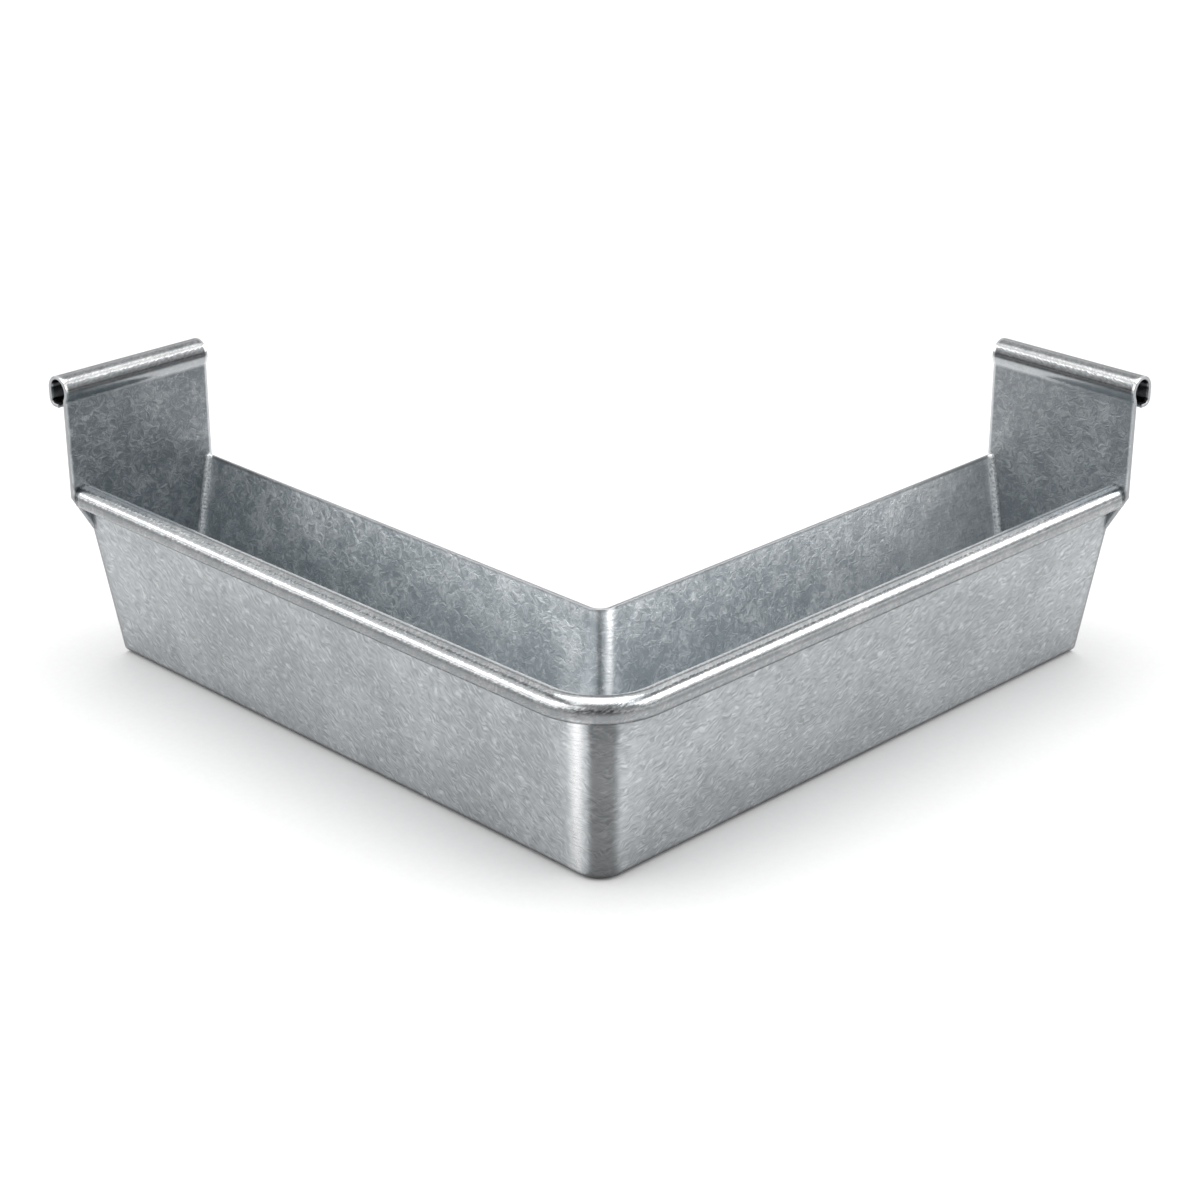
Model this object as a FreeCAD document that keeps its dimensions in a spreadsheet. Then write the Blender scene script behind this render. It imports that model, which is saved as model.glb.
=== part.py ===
import FreeCAD, Part
import math
import os
import re
import Sketcher

# Gutter external angle in hot-dip galvanised sheet: an L-shaped trough that turns round the outside
# corner of a building, closed at both ends by tall plates whose top edges are rolled into hooks.
# The axis of the outer bend is the Z axis. One arm runs along +X, the other along +Y, and the
# underside of the sole is at z = 0. Lengths are in millimetres, angles in degrees.

SIZES = {
    "sheet": 2.0,                # thickness of the sheet
    "arm_length": 380.0,         # sharp outer corner of the sole to the inner face of an end plate
    "sole_width": 47.5,          # underside of the trough, between the sharp corners of its folds
    "wall_lean": 10.8,           # lean of the front and back walls away from upright
    "fold_radius": 5.0,          # outside radius of the folds between sole and walls
    "corner_radius": 14.0,       # plan radius of the outer bend, at the sharp edge of the sole
    "back_corner_radius": 6.0,   # plan radius of the inner bend, at the top of the back wall
    "back_height": 103.0,        # top edge of the back wall
    "bead_top": 108.0,           # top of the rolled bead on the front wall
    "bead_width": 13.0,          # across the bead
    "bead_skirt": 2.0,           # straight side of the bead, between its roll and its curl
    "bead_stand_out": 7.5,       # bead past the front face of the wall
    "bead_curl": 5.0,            # outside radius where the bead turns in to its lip
    "bead_lip_gap": 1.5,         # clear gap between the lip and the wall
    "bead_neck": 4.0,            # radius of the bend where the wall swings in under the bead
    "plate_top": 170.5,          # top of the hooks on the end plates
    "plate_overhang": 1.3,       # end plate past the outside of the bead
    "gusset_foot": 79.5,         # height where the plate leaves the wall to pass under the bead
    "gusset_head": 101.5,        # height where the plate's slanted edge meets its upright edge
    "hook_width": 16.5,          # across the hook
    "hook_skirt": 5.3,           # straight side of the hook, between its roll and its curl
    "hook_set_in": 1.8,          # hook past the inner face of the plate
    "hook_curl": 4.6,            # outside radius where the hook turns in to its lip
    "hook_lip_run": 3.6,         # flat end of the hook's lip, past its curl
    "hook_neck": 5.0,            # radius of the bend where the plate swings in under the hook
    "weld_leg": 3.4,             # leg of the weld between an end plate and the trough
    "weld_rise": 1.2,            # weld past the top edge of the back wall
}

# Sizes that follow from the ones above. A roll is placed by its outermost line, the height of its
# axis, the height of its lip and the end of its lip, seen from the wall that it grows out of.
DERIVED = {
    "arm_end": "arm_length - corner_radius",
    "front_line": "-corner_radius",
    "back_line": "sole_width - corner_radius",
    "wall_step": "sheet / cos(wall_lean)",
    "fold_inside": "fold_radius - sheet",
    "fold_reach": "fold_radius * tan((90 - wall_lean) / 2)",
    "front_fold_line": "front_line + fold_reach",
    "back_fold_line": "back_line - fold_reach",
    "sole_lap": "(corner_radius - fold_reach) / 2",
    "sole_front": "front_fold_line + sole_lap / 2",
    "sole_back": "back_fold_line - sole_lap / 2",
    "back_top_line": "back_line + back_height * tan(wall_lean)",
    "back_axis": "back_top_line + back_corner_radius",
    "bead_axis": "bead_top - bead_width / 2",
    "bead_outside": "front_line - bead_axis * tan(wall_lean) - bead_stand_out",
    "bead_lip": "bead_axis - bead_skirt - bead_curl",
    "bead_lip_end": "front_line - bead_lip * tan(wall_lean) - bead_lip_gap",
    "plate_edge": "bead_outside - plate_overhang",
    "gusset_line": "front_line - gusset_foot * tan(wall_lean)",
    "hook_axis": "plate_top - hook_width / 2",
    "hook_outside": "hook_set_in - hook_width",
    "hook_lip": "hook_axis - hook_skirt - hook_curl",
    "hook_lip_end": "hook_outside + hook_curl + hook_lip_run",
    "weld_top": "back_height + weld_rise",
    "weld_top_line": "back_line + weld_top * tan(wall_lean) - wall_step",
    "weld_top_front": "front_line - weld_top * tan(wall_lean) + wall_step",
    "weld_front_line": "gusset_line + wall_step",
    "channel_front": "front_line - sheet * tan(wall_lean) + wall_step",
    "channel_back": "back_line + sheet * tan(wall_lean) - wall_step",
}

ALIASES = {*SIZES, *DERIVED}
PLANE_XY = FreeCAD.Rotation()
PLANE_YZ = FreeCAD.Rotation(FreeCAD.Vector(1, 1, 1), 120)
PLANE_XZ_FROM_BEHIND = FreeCAD.Rotation(FreeCAD.Vector(0, 1, 1), 180)
START, END, CENTRE = 1, 2, 3
ORIGIN = (-1, START)

doc = FreeCAD.newDocument("gutter_external_angle")
sizes = doc.addObject("Spreadsheet::Sheet", "Sizes")
for row, (alias, number) in enumerate(SIZES.items(), start=1):
    sizes.set(f"A{row}", alias.replace("_", " "))
    sizes.set(f"B{row}", str(number))
    sizes.setAlias(f"B{row}", alias)
for row, (alias, formula) in enumerate(DERIVED.items(), start=1):
    sizes.set(f"D{row}", alias.replace("_", " "))
    sizes.set(f"E{row}", f"={formula}")
    sizes.setAlias(f"E{row}", alias)
doc.recompute()


def size(alias):
    """Value of a cell of the sheet."""
    return float(sizes.get(alias))


def linked(expression):
    """The expression with every alias written as a reference to the sheet."""
    return re.sub("[a-z_]+", lambda word: f"Sizes.{word[0]}" if word[0] in ALIASES else word[0], expression)


def worked_out(expression):
    """Number that an expression of aliases comes to."""
    return float(sizes.evalExpression(expression))


class SizedSketch:
    """A sketch of lines and arcs whose dimensions are tied to the sheet."""

    def __init__(self, name, rotation, **base):
        self.sketch = doc.addObject("Sketcher::SketchObject", name)
        self.sketch.Placement = FreeCAD.Placement(FreeCAD.Vector(0, 0, 0), rotation)
        for axis, expression in base.items():
            self.sketch.setExpression(f"Placement.Base.{axis}", linked(expression))

    def line(self, start, end):
        """Straight run between two points."""
        points = [FreeCAD.Vector(x, y, 0) for x, y in (start, end)]
        return self.sketch.addGeometry(Part.LineSegment(*points))

    def arc(self, centre, radius, first, last):
        """Arc that runs anticlockwise between two angles."""
        circle = Part.Circle(FreeCAD.Vector(*centre, 0), FreeCAD.Vector(0, 0, 1), radius)
        return self.sketch.addGeometry(Part.ArcOfCircle(circle, math.radians(first), math.radians(last)))

    def join(self, *point_pairs):
        """Make points meet."""
        for one, other in point_pairs:
            self.sketch.addConstraint(Sketcher.Constraint("Coincident", *one, *other))

    def smooth(self, *point_pairs):
        """Make runs meet end to end with no kink."""
        for one, other in point_pairs:
            self.sketch.addConstraint(Sketcher.Constraint("Tangent", *one, *other))

    def upright(self, *lines):
        """Keep lines parallel to the sketch's second axis."""
        for line in lines:
            self.sketch.addConstraint(Sketcher.Constraint("Vertical", line))

    def level(self, *lines):
        """Keep lines parallel to the sketch's first axis."""
        for line in lines:
            self.sketch.addConstraint(Sketcher.Constraint("Horizontal", line))

    def bind(self, constraint, expression):
        """Add a dimension and tie it to the sheet."""
        index = self.sketch.addConstraint(constraint)
        self.sketch.setExpression(f"Constraints[{index}]", linked(expression))

    def across(self, point, expression):
        """Set a point's first coordinate."""
        self.bind(Sketcher.Constraint("DistanceX", *ORIGIN, *point, worked_out(expression)), expression)

    def height(self, point, expression):
        """Set a point's second coordinate."""
        self.bind(Sketcher.Constraint("DistanceY", *ORIGIN, *point, worked_out(expression)), expression)

    def radius(self, arc, expression):
        """Set an arc's radius."""
        self.bind(Sketcher.Constraint("Radius", arc, worked_out(expression)), expression)

    def lean(self, line, expression):
        """Set a line's angle from the sketch's first axis."""
        angle = math.radians(worked_out(expression))
        self.bind(Sketcher.Constraint("Angle", line, angle), f"({expression}) * 1 deg")


class SheetSection(SizedSketch):
    """Section of bent sheet: a face line drawn run by run, and the other face to the left of it."""

    def __init__(self, name, rotation, **base):
        super().__init__(name, rotation, **base)
        self.runs = []

    def straight(self, start, end):
        """Flat run of sheet. Gives back its face line."""
        share = size("sheet") / math.dist(start, end)
        left = (share * (start[1] - end[1]), share * (end[0] - start[0]))
        other = self.line(*[(x + left[0], y + left[1]) for x, y in (start, end)])
        self.runs.append((self.line(start, end), other, START, END))
        return self.runs[-1][0]

    def bend(self, centre, radius, first, last):
        """Bent run of sheet, travelled from the first angle to the last. Gives back its face arc."""
        turns_left = last > first
        other_radius = f"{radius} - sheet" if turns_left else f"{radius} + sheet"
        face, other = [self.arc(centre, worked_out(expression), *sorted((first, last)))
                       for expression in (radius, other_radius)]
        self.join(((face, CENTRE), (other, CENTRE)))
        self.radius(face, radius)
        # Straight after another bend, touching that bend already sets the other face's radius.
        if not isinstance(self.sketch.Geometry[self.runs[-1][0]], Part.ArcOfCircle):
            self.radius(other, other_radius)
        self.runs.append((face, other, START, END) if turns_left else (face, other, END, START))
        return face

    def roll(self, prefix, foot, lean):
        """Carry a wall on from its foot into a neck, a roll to the left, a curl and a lip."""
        outside, axis = size(f"{prefix}_outside"), size(f"{prefix}_axis")
        lip, lip_end, curl = size(f"{prefix}_lip"), size(f"{prefix}_lip_end"), size(f"{prefix}_curl")
        radius, neck = size(f"{prefix}_width") / 2, size(f"{prefix}_neck")
        centre = (outside + radius, axis)
        along = (-math.sin(math.radians(lean)), math.cos(math.radians(lean)))
        inward = (along[1], -along[0])
        # The neck's centre lies one neck radius inside the wall and touches the roll from outside.
        from_foot = (centre[0] - foot[0], centre[1] - foot[1])
        inset = neck - sum(a * b for a, b in zip(from_foot, inward))
        rise = sum(a * b for a, b in zip(from_foot, along)) - math.sqrt((radius + neck) ** 2 - inset ** 2)
        wall_top = (foot[0] + rise * along[0], foot[1] + rise * along[1])
        neck_centre = (wall_top[0] + neck * inward[0], wall_top[1] + neck * inward[1])
        meeting = math.degrees(math.atan2(centre[1] - neck_centre[1], centre[0] - neck_centre[0]))
        wall = self.straight(foot, wall_top)
        self.bend(neck_centre, f"{prefix}_neck", 180 + lean, meeting)
        crown = self.bend(centre, f"{prefix}_width / 2", meeting - 180, 180)
        side = self.straight((outside, axis), (outside, lip + curl))
        self.bend((outside + curl, lip + curl), f"{prefix}_curl", 180, 270)
        lip_line = self.straight((outside + curl, lip), (lip_end, lip))
        self.upright(side)
        self.level(lip_line)
        self.height((crown, CENTRE), f"{prefix}_axis")
        self.across((side, START), f"{prefix}_outside")
        self.height((lip_line, END), f"{prefix}_lip")
        self.across((lip_line, END), f"{prefix}_lip_end")
        return wall

    def close(self):
        """Join the runs of both faces and square off the two ends."""
        for before, after in zip(self.runs, self.runs[1:]):
            self.smooth(*[((before[face], before[3]), (after[face], after[2])) for face in (0, 1)])
        for (face, other, *_), end in ((self.runs[0], self.runs[0][2]), (self.runs[-1], self.runs[-1][3])):
            points = [self.sketch.getPoint(run, end) for run in (face, other)]
            cut = self.line(*[(point.x, point.y) for point in points])
            self.join(((cut, START), (face, end)), ((cut, END), (other, end)))
            self.sketch.addConstraint(Sketcher.Constraint("Perpendicular", cut, face))
            self.sketch.addConstraint(Sketcher.Constraint("Parallel", face, other))
        return self.sketch


def swept(name, section, path):
    """Solid made by carrying a section along every run of a path."""
    sweep = doc.addObject("Part::Sweep", name)
    sweep.Sections = [section]
    sweep.Spine = (path.sketch, [f"Edge{run + 1}" for run in range(path.sketch.GeometryCount)])
    sweep.Solid = True
    sweep.Frenet = False
    return sweep


def extruded(name, profile, direction, expression):
    """Solid made by drawing a profile out along a direction."""
    solid = doc.addObject("Part::Extrusion", name)
    solid.Base = profile
    solid.DirMode = "Custom"
    solid.Dir = FreeCAD.Vector(*direction)
    solid.Solid = True
    solid.setExpression("LengthFwd", linked(expression))
    return solid


def bent_path(name, line_alias, axis_expression):
    """Route of a wall: in along the X arm, round an upright bend axis and out along the Y arm."""
    path = SizedSketch(name, PLANE_XY)
    line, end, axis = size(line_alias), size("arm_end"), worked_out(axis_expression)
    first = path.line((end, line), (axis, line))
    bend = path.arc((axis, axis), axis - line, 180, 270)
    last = path.line((line, axis), (line, end))
    path.smooth(((first, END), (bend, END)), ((bend, START), (last, START)))
    path.level(first)
    path.upright(last)
    path.across((first, START), "arm_end")
    path.height((first, START), line_alias)
    path.across((last, END), line_alias)
    path.height((last, END), "arm_end")
    path.across((bend, CENTRE), axis_expression)
    return path


def fold_foot(fold_line, side):
    """Fold between sole and wall, on the inside: its centre and the point where the wall leaves it."""
    slope, inside = math.radians(size("wall_lean")), size("fold_inside")
    centre = (size(fold_line), size("fold_radius"))
    return centre, (centre[0] + side * inside * math.cos(slope), centre[1] - inside * math.sin(slope))


def build_sole():
    """Flat L-shaped floor of the trough, lapping the sheet of the folds at its edges."""
    end, front, back, axis = size("arm_end"), size("sole_front"), size("sole_back"), size("back_axis")
    outline = SizedSketch("sole_outline", PLANE_XY)
    front_x = outline.line((end, front), (0, front))
    outer = outline.arc((0, 0), -front, 180, 270)
    front_y = outline.line((front, 0), (front, end))
    end_y = outline.line((front, end), (back, end))
    back_y = outline.line((back, end), (back, axis))
    inner = outline.arc((axis, axis), axis - back, 180, 270)
    back_x = outline.line((axis, back), (end, back))
    end_x = outline.line((end, back), (end, front))
    outline.smooth(((front_x, END), (outer, END)), ((outer, START), (front_y, START)))
    outline.smooth(((back_y, END), (inner, START)), ((inner, END), (back_x, START)))
    outline.join(((front_y, END), (end_y, START)), ((end_y, END), (back_y, START)))
    outline.join(((back_x, END), (end_x, START)), ((end_x, END), (front_x, START)))
    outline.level(front_x, back_x, end_y)
    outline.upright(front_y, back_y, end_x)
    outline.height((front_x, START), "sole_front")
    outline.across((front_y, START), "sole_front")
    outline.height((back_x, START), "sole_back")
    outline.across((back_y, START), "sole_back")
    outline.across((front_x, START), "arm_end")
    outline.height((front_y, END), "arm_end")
    outline.across((outer, CENTRE), "0")
    outline.across((inner, CENTRE), "back_axis")
    return extruded("sole", outline.sketch, (0, 0, 1), "sheet")


def build_front_wall():
    """Front wall with its fold and rolled bead, carried round the outer bend."""
    lean, sheet, tangent = size("wall_lean"), size("sheet"), size("front_fold_line")
    centre, foot = fold_foot("front_fold_line", -1)
    section = SheetSection("front_wall_section", PLANE_YZ, x="arm_end")
    floor = section.straight((tangent + size("sole_lap"), sheet), (tangent, sheet))
    section.bend(centre, "fold_inside", 270, 180 + lean)
    wall = section.roll("bead", foot, lean)
    section.level(floor)
    section.height((floor, START), "sheet")
    section.across((floor, START), "front_fold_line + sole_lap")
    section.across((floor, END), "front_fold_line")
    section.lean(wall, "90 + wall_lean")
    return swept("front_wall", section.close(), bent_path("front_wall_path", "front_line", "0"))


def build_back_wall():
    """Plain back wall with its fold, carried round the inner bend."""
    lean, sheet, tangent, top = size("wall_lean"), size("sheet"), size("back_fold_line"), size("back_height")
    centre, foot = fold_foot("back_fold_line", 1)
    top_point = (foot[0] + (top - foot[1]) * math.tan(math.radians(lean)), top)
    section = SheetSection("back_wall_section", PLANE_YZ, x="arm_end")
    wall = section.straight(top_point, foot)
    section.bend(centre, "fold_inside", 360 - lean, 270)
    floor = section.straight((tangent, sheet), (tangent - size("sole_lap"), sheet))
    section.level(floor)
    section.height((floor, START), "sheet")
    section.across((floor, START), "back_fold_line")
    section.across((floor, END), "back_fold_line - sole_lap")
    section.height((wall, START), "back_height")
    section.lean(wall, "-90 - wall_lean")
    return swept("back_wall", section.close(), bent_path("back_wall_path", "back_line", "back_axis"))


def build_trough():
    """The folded and pressed body of the gutter, one piece of sheet."""
    trough = doc.addObject("Part::MultiFuse", "trough_body")
    trough.Shapes = [build_sole(), build_front_wall(), build_back_wall()]
    trough.Refine = True
    trough.Label = "trough"
    return trough


def build_plate_blank():
    """Edge of an end plate, drawn out: the trough's outer section, stepping out past the bead and up."""
    lean, radius = size("wall_lean"), size("fold_radius")
    across, down = radius * math.cos(math.radians(lean)), radius * (1 - math.sin(math.radians(lean)))
    front, back, line = size("front_fold_line"), size("back_fold_line"), size("gusset_line")
    foot, head, wall_top = size("gusset_foot"), size("gusset_head"), size("back_height")
    top, edge, back_edge = worked_out("plate_top + sheet"), size("plate_edge"), size("back_top_line")
    outline = SizedSketch("end_plate_outline", PLANE_YZ, x="arm_end - hook_set_in - sheet")
    sole = outline.line((front, 0), (back, 0))
    back_fold = outline.arc((back, radius), radius, 270, 360 - lean)
    back_wall = outline.line((back + across, down), (back_edge, wall_top))
    back_upright = outline.line((back_edge, wall_top), (back_edge, top))
    top_line = outline.line((back_edge, top), (edge, top))
    front_upright = outline.line((edge, top), (edge, head))
    gusset = outline.line((edge, head), (line, foot))
    front_wall = outline.line((line, foot), (front - across, down))
    front_fold = outline.arc((front, radius), radius, 180 + lean, 270)
    outline.smooth(((sole, END), (back_fold, START)), ((back_fold, END), (back_wall, START)))
    outline.smooth(((front_wall, END), (front_fold, START)), ((front_fold, END), (sole, START)))
    outline.join(((back_wall, END), (back_upright, START)), ((back_upright, END), (top_line, START)))
    outline.join(((top_line, END), (front_upright, START)), ((front_upright, END), (gusset, START)))
    outline.join(((gusset, END), (front_wall, START)))
    outline.level(sole, top_line)
    outline.upright(back_upright, front_upright)
    outline.radius(front_fold, "fold_radius")
    outline.radius(back_fold, "fold_radius")
    outline.height((sole, START), "0")
    outline.across((sole, START), "front_fold_line")
    outline.across((sole, END), "back_fold_line")
    outline.height((back_wall, END), "back_height")
    outline.across((back_upright, END), "back_top_line")
    outline.height((top_line, START), "plate_top + sheet")
    outline.across((front_upright, END), "plate_edge")
    outline.height((front_upright, END), "gusset_head")
    outline.height((gusset, END), "gusset_foot")
    outline.across((gusset, END), "gusset_line")
    return extruded("end_plate_blank", outline.sketch, (1, 0, 0), "hook_width + 2 * sheet")


def build_right_end_plate():
    """Plate that closes the X arm, its top edge rolled outwards into a hook."""
    section = SheetSection("end_plate_section", PLANE_XZ_FROM_BEHIND, x="arm_end", y="plate_edge")
    wall = section.roll("hook", (0.0, 0.0), 0.0)
    section.upright(wall)
    section.join(((wall, START), ORIGIN))
    plate = doc.addObject("Part::MultiCommon", "right_plate")
    rolled = extruded("end_plate_sheet", section.close(), (0, 1, 0), "back_top_line - plate_edge")
    plate.Shapes = [rolled, build_plate_blank()]
    plate.Label = "right_end_plate"
    return plate


def build_channel_block():
    """Inside of the trough near the end plate of the X arm, as a block: what the weld can fill."""
    lean, sheet, top = size("wall_lean"), size("sheet"), size("weld_top")
    front_centre, front_foot = fold_foot("front_fold_line", -1)
    back_centre, back_foot = fold_foot("back_fold_line", 1)
    front_top, back_top = (size("weld_top_front"), top), (size("weld_top_line"), top)
    outline = SizedSketch("channel_outline", PLANE_YZ, x="arm_end")
    floor = outline.line((front_centre[0], sheet), (back_centre[0], sheet))
    back_fold = outline.arc(back_centre, size("fold_inside"), 270, 360 - lean)
    back_wall = outline.line(back_foot, back_top)
    top_line = outline.line(back_top, front_top)
    front_wall = outline.line(front_top, front_foot)
    front_fold = outline.arc(front_centre, size("fold_inside"), 180 + lean, 270)
    outline.smooth(((floor, END), (back_fold, START)), ((back_fold, END), (back_wall, START)))
    outline.smooth(((front_wall, END), (front_fold, START)), ((front_fold, END), (floor, START)))
    outline.join(((back_wall, END), (top_line, START)), ((top_line, END), (front_wall, START)))
    outline.level(floor, top_line)
    outline.radius(front_fold, "fold_inside")
    outline.radius(back_fold, "fold_inside")
    outline.height((floor, START), "sheet")
    outline.across((floor, START), "front_fold_line")
    outline.across((floor, END), "back_fold_line")
    outline.height((top_line, START), "weld_top")
    outline.across((top_line, START), "weld_top_line")
    outline.across((top_line, END), "weld_top_front")
    return extruded("channel_block", outline.sketch, (-1, 0, 0), "2 * weld_leg")


def build_right_weld_seam():
    """Weld that runs round the inside of the trough against the end plate of the X arm."""
    leg, floor_height = size("weld_leg"), size("sheet")
    path = SizedSketch("weld_path", PLANE_YZ, x="arm_end")
    back_foot, front_foot = (size("channel_back"), floor_height), (size("channel_front"), floor_height)
    back_wall = path.line((size("weld_top_line"), size("weld_top")), back_foot)
    floor = path.line(back_foot, front_foot)
    front_wall = path.line(front_foot, (size("weld_front_line"), size("gusset_foot")))
    path.join(((back_wall, END), (floor, START)), ((floor, END), (front_wall, START)))
    path.level(floor)
    path.height((floor, START), "sheet")
    path.across((floor, START), "channel_back")
    path.across((floor, END), "channel_front")
    path.height((back_wall, START), "weld_top")
    path.across((back_wall, START), "weld_top_line")
    path.height((front_wall, END), "gusset_foot")
    path.across((front_wall, END), "weld_front_line")
    section = SizedSketch("weld_section", PLANE_XY, x="arm_end", y="weld_top_line", z="weld_top")
    on_wall = section.line((0, 0), (-leg, 0))
    crown = section.arc((0, 0), leg, 180, 270)
    on_plate = section.line((0, -leg), (0, 0))
    section.join(((on_wall, END), (crown, START)), ((crown, END), (on_plate, START)))
    section.join(((on_plate, END), ORIGIN), ((on_wall, START), ORIGIN), ((crown, CENTRE), ORIGIN))
    section.level(on_wall)
    section.upright(on_plate)
    section.radius(crown, "weld_leg")
    run = swept("weld_run", section.sketch, path)
    run.Transition = "Right corner"
    seam = doc.addObject("Part::MultiCommon", "right_seam")
    seam.Shapes = [run, build_channel_block()]
    seam.Label = "right_weld_seam"
    return seam


def mirrored(name, source, label):
    """The like piece on the Y arm, across the upright plane through the corner."""
    mirror = doc.addObject("Part::Mirroring", name)
    mirror.Source = source
    mirror.Normal = FreeCAD.Vector(1, -1, 0)
    mirror.Label = label
    return mirror


right_plate = build_right_end_plate()
right_seam = build_right_weld_seam()
pieces = [
    build_trough(),
    right_plate,
    mirrored("left_plate", right_plate, "left_end_plate"),
    right_seam,
    mirrored("left_seam", right_seam, "left_weld_seam"),
]
doc.recompute()

for item in doc.Objects:
    if "Invalid" in item.State or "Error" in item.State:
        raise RuntimeError(f"{item.Name} failed: {item.State}")
for piece in pieces:
    if piece.Shape.isNull() or not piece.Shape.isValid() or len(piece.Shape.Solids) != 1:
        raise RuntimeError(f"{piece.Label} is not one sound solid")

os.makedirs("parts", exist_ok=True)
for piece in pieces:
    piece.Shape.exportStep(f"parts/{piece.Label}.step")
    box = piece.Shape.BoundBox
    print(f"{piece.Label}: volume {piece.Shape.Volume:.0f} mm3, "
          f"x {box.XMin:.2f} to {box.XMax:.2f}, y {box.YMin:.2f} to {box.YMax:.2f}, "
          f"z {box.ZMin:.2f} to {box.ZMax:.2f}")
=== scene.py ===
"""Looks of a gutter external angle: one bent sheet of zinc-coated steel, two end plates with hooked tops, and
the weld seams between them, in a plain pale studio."""

import logging
import math
from dataclasses import dataclass, field
from enum import Enum

import bmesh
import bpy
import numpy as np
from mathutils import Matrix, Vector


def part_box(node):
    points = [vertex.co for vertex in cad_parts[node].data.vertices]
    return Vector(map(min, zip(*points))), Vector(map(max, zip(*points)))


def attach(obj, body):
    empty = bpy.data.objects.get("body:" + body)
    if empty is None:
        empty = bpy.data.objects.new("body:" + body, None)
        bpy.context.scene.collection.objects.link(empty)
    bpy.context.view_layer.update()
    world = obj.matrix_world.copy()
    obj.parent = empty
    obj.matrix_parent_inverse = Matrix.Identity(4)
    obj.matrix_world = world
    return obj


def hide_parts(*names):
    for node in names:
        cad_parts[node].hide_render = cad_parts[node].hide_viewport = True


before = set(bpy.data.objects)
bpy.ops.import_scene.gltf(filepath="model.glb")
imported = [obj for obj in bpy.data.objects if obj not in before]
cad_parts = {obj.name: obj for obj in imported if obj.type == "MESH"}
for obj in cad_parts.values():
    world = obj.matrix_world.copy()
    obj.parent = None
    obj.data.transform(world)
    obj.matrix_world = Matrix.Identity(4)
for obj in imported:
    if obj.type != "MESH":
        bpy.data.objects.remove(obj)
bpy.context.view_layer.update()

log = logging.getLogger("gutter_angle")

Array = np.ndarray
Pair = tuple[float, float] | Array
Place = tuple[float, float, float]
Colour = tuple[float, float, float, float]
Socket = bpy.types.NodeSocket
Piece = bpy.types.Object

SHEET_UV = "sheet_flat"
FAR_FACE_SHIFT = np.array([0.0, 1.31])  # keeps the patterns of a sheet's two faces apart
GRID_STEP = 0.004  # longest distance between points across a sheet
FINE_STEP = 0.0005  # the same where an outline is round
ARC_STEP = math.radians(6)  # widest angle between points on a round
EDGE_POINTS = 5  # points on the round of a cut edge
EDGE_LOOK = 0.0012  # how far the look of a cut edge reaches
CALM = 0.02  # how far from an edge a sheet's unevenness begins
TURNED_OVER = [0, 3, 2, 1]  # order of a quad's corners, seen from behind
MILLI = 0.001
ORIGIN = (0.0, 0.0, 0.0)


def grey(level: float) -> Colour:
    """Returns a grey."""
    return level, level, level, 1.0


def fade(values: Array, start: float, end: float) -> Array:
    """Returns zero up to the start, one past the end, and an even rise between them."""
    return np.clip((values - start) / (end - start), 0.0, 1.0)


def grid(*parts: Array) -> Array:
    """Returns arrays spread over one grid, with their numbers side by side at each point."""
    return np.stack(np.broadcast_arrays(*parts), axis=-1)


def quads(index: Array) -> Array:
    """Returns the corner numbers of the quads between the points of a grid, four to a row."""
    return grid(index[:-1, :-1], index[1:, :-1], index[1:, 1:], index[:-1, 1:]).reshape(-1, 4)


class Side(Enum):
    """Arm of the angle that a piece belongs to."""

    RIGHT = "right"
    LEFT = "left"

    def place(self, points: Array) -> Array:
        """Returns points drawn on the right arm, with X and Y exchanged for the left arm."""
        return points if self is Side.RIGHT else points[..., [1, 0, 2]]


PLATE_MAPS = {Side.RIGHT: (0.21, 2.3), Side.LEFT: (1.04, 2.3)}  # keep the plates' patterns apart from the trough's


class Mark(Enum):
    """Number that a mesh stores at each of its points, for its finish to read."""

    POLISH = "polish"  # one where a tool has rolled the zinc smooth
    EDGE = "edge"  # one at a cut edge
    INSIDE = "inside"  # one on the face that holds the water
    RUB = "rub"  # painted highlight above zero and painted shade below zero, in strips on the bends
    MATT = "matt"  # one where the zinc is weathered
    ROLL = "roll"  # distance past the top of a rolled edge


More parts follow.
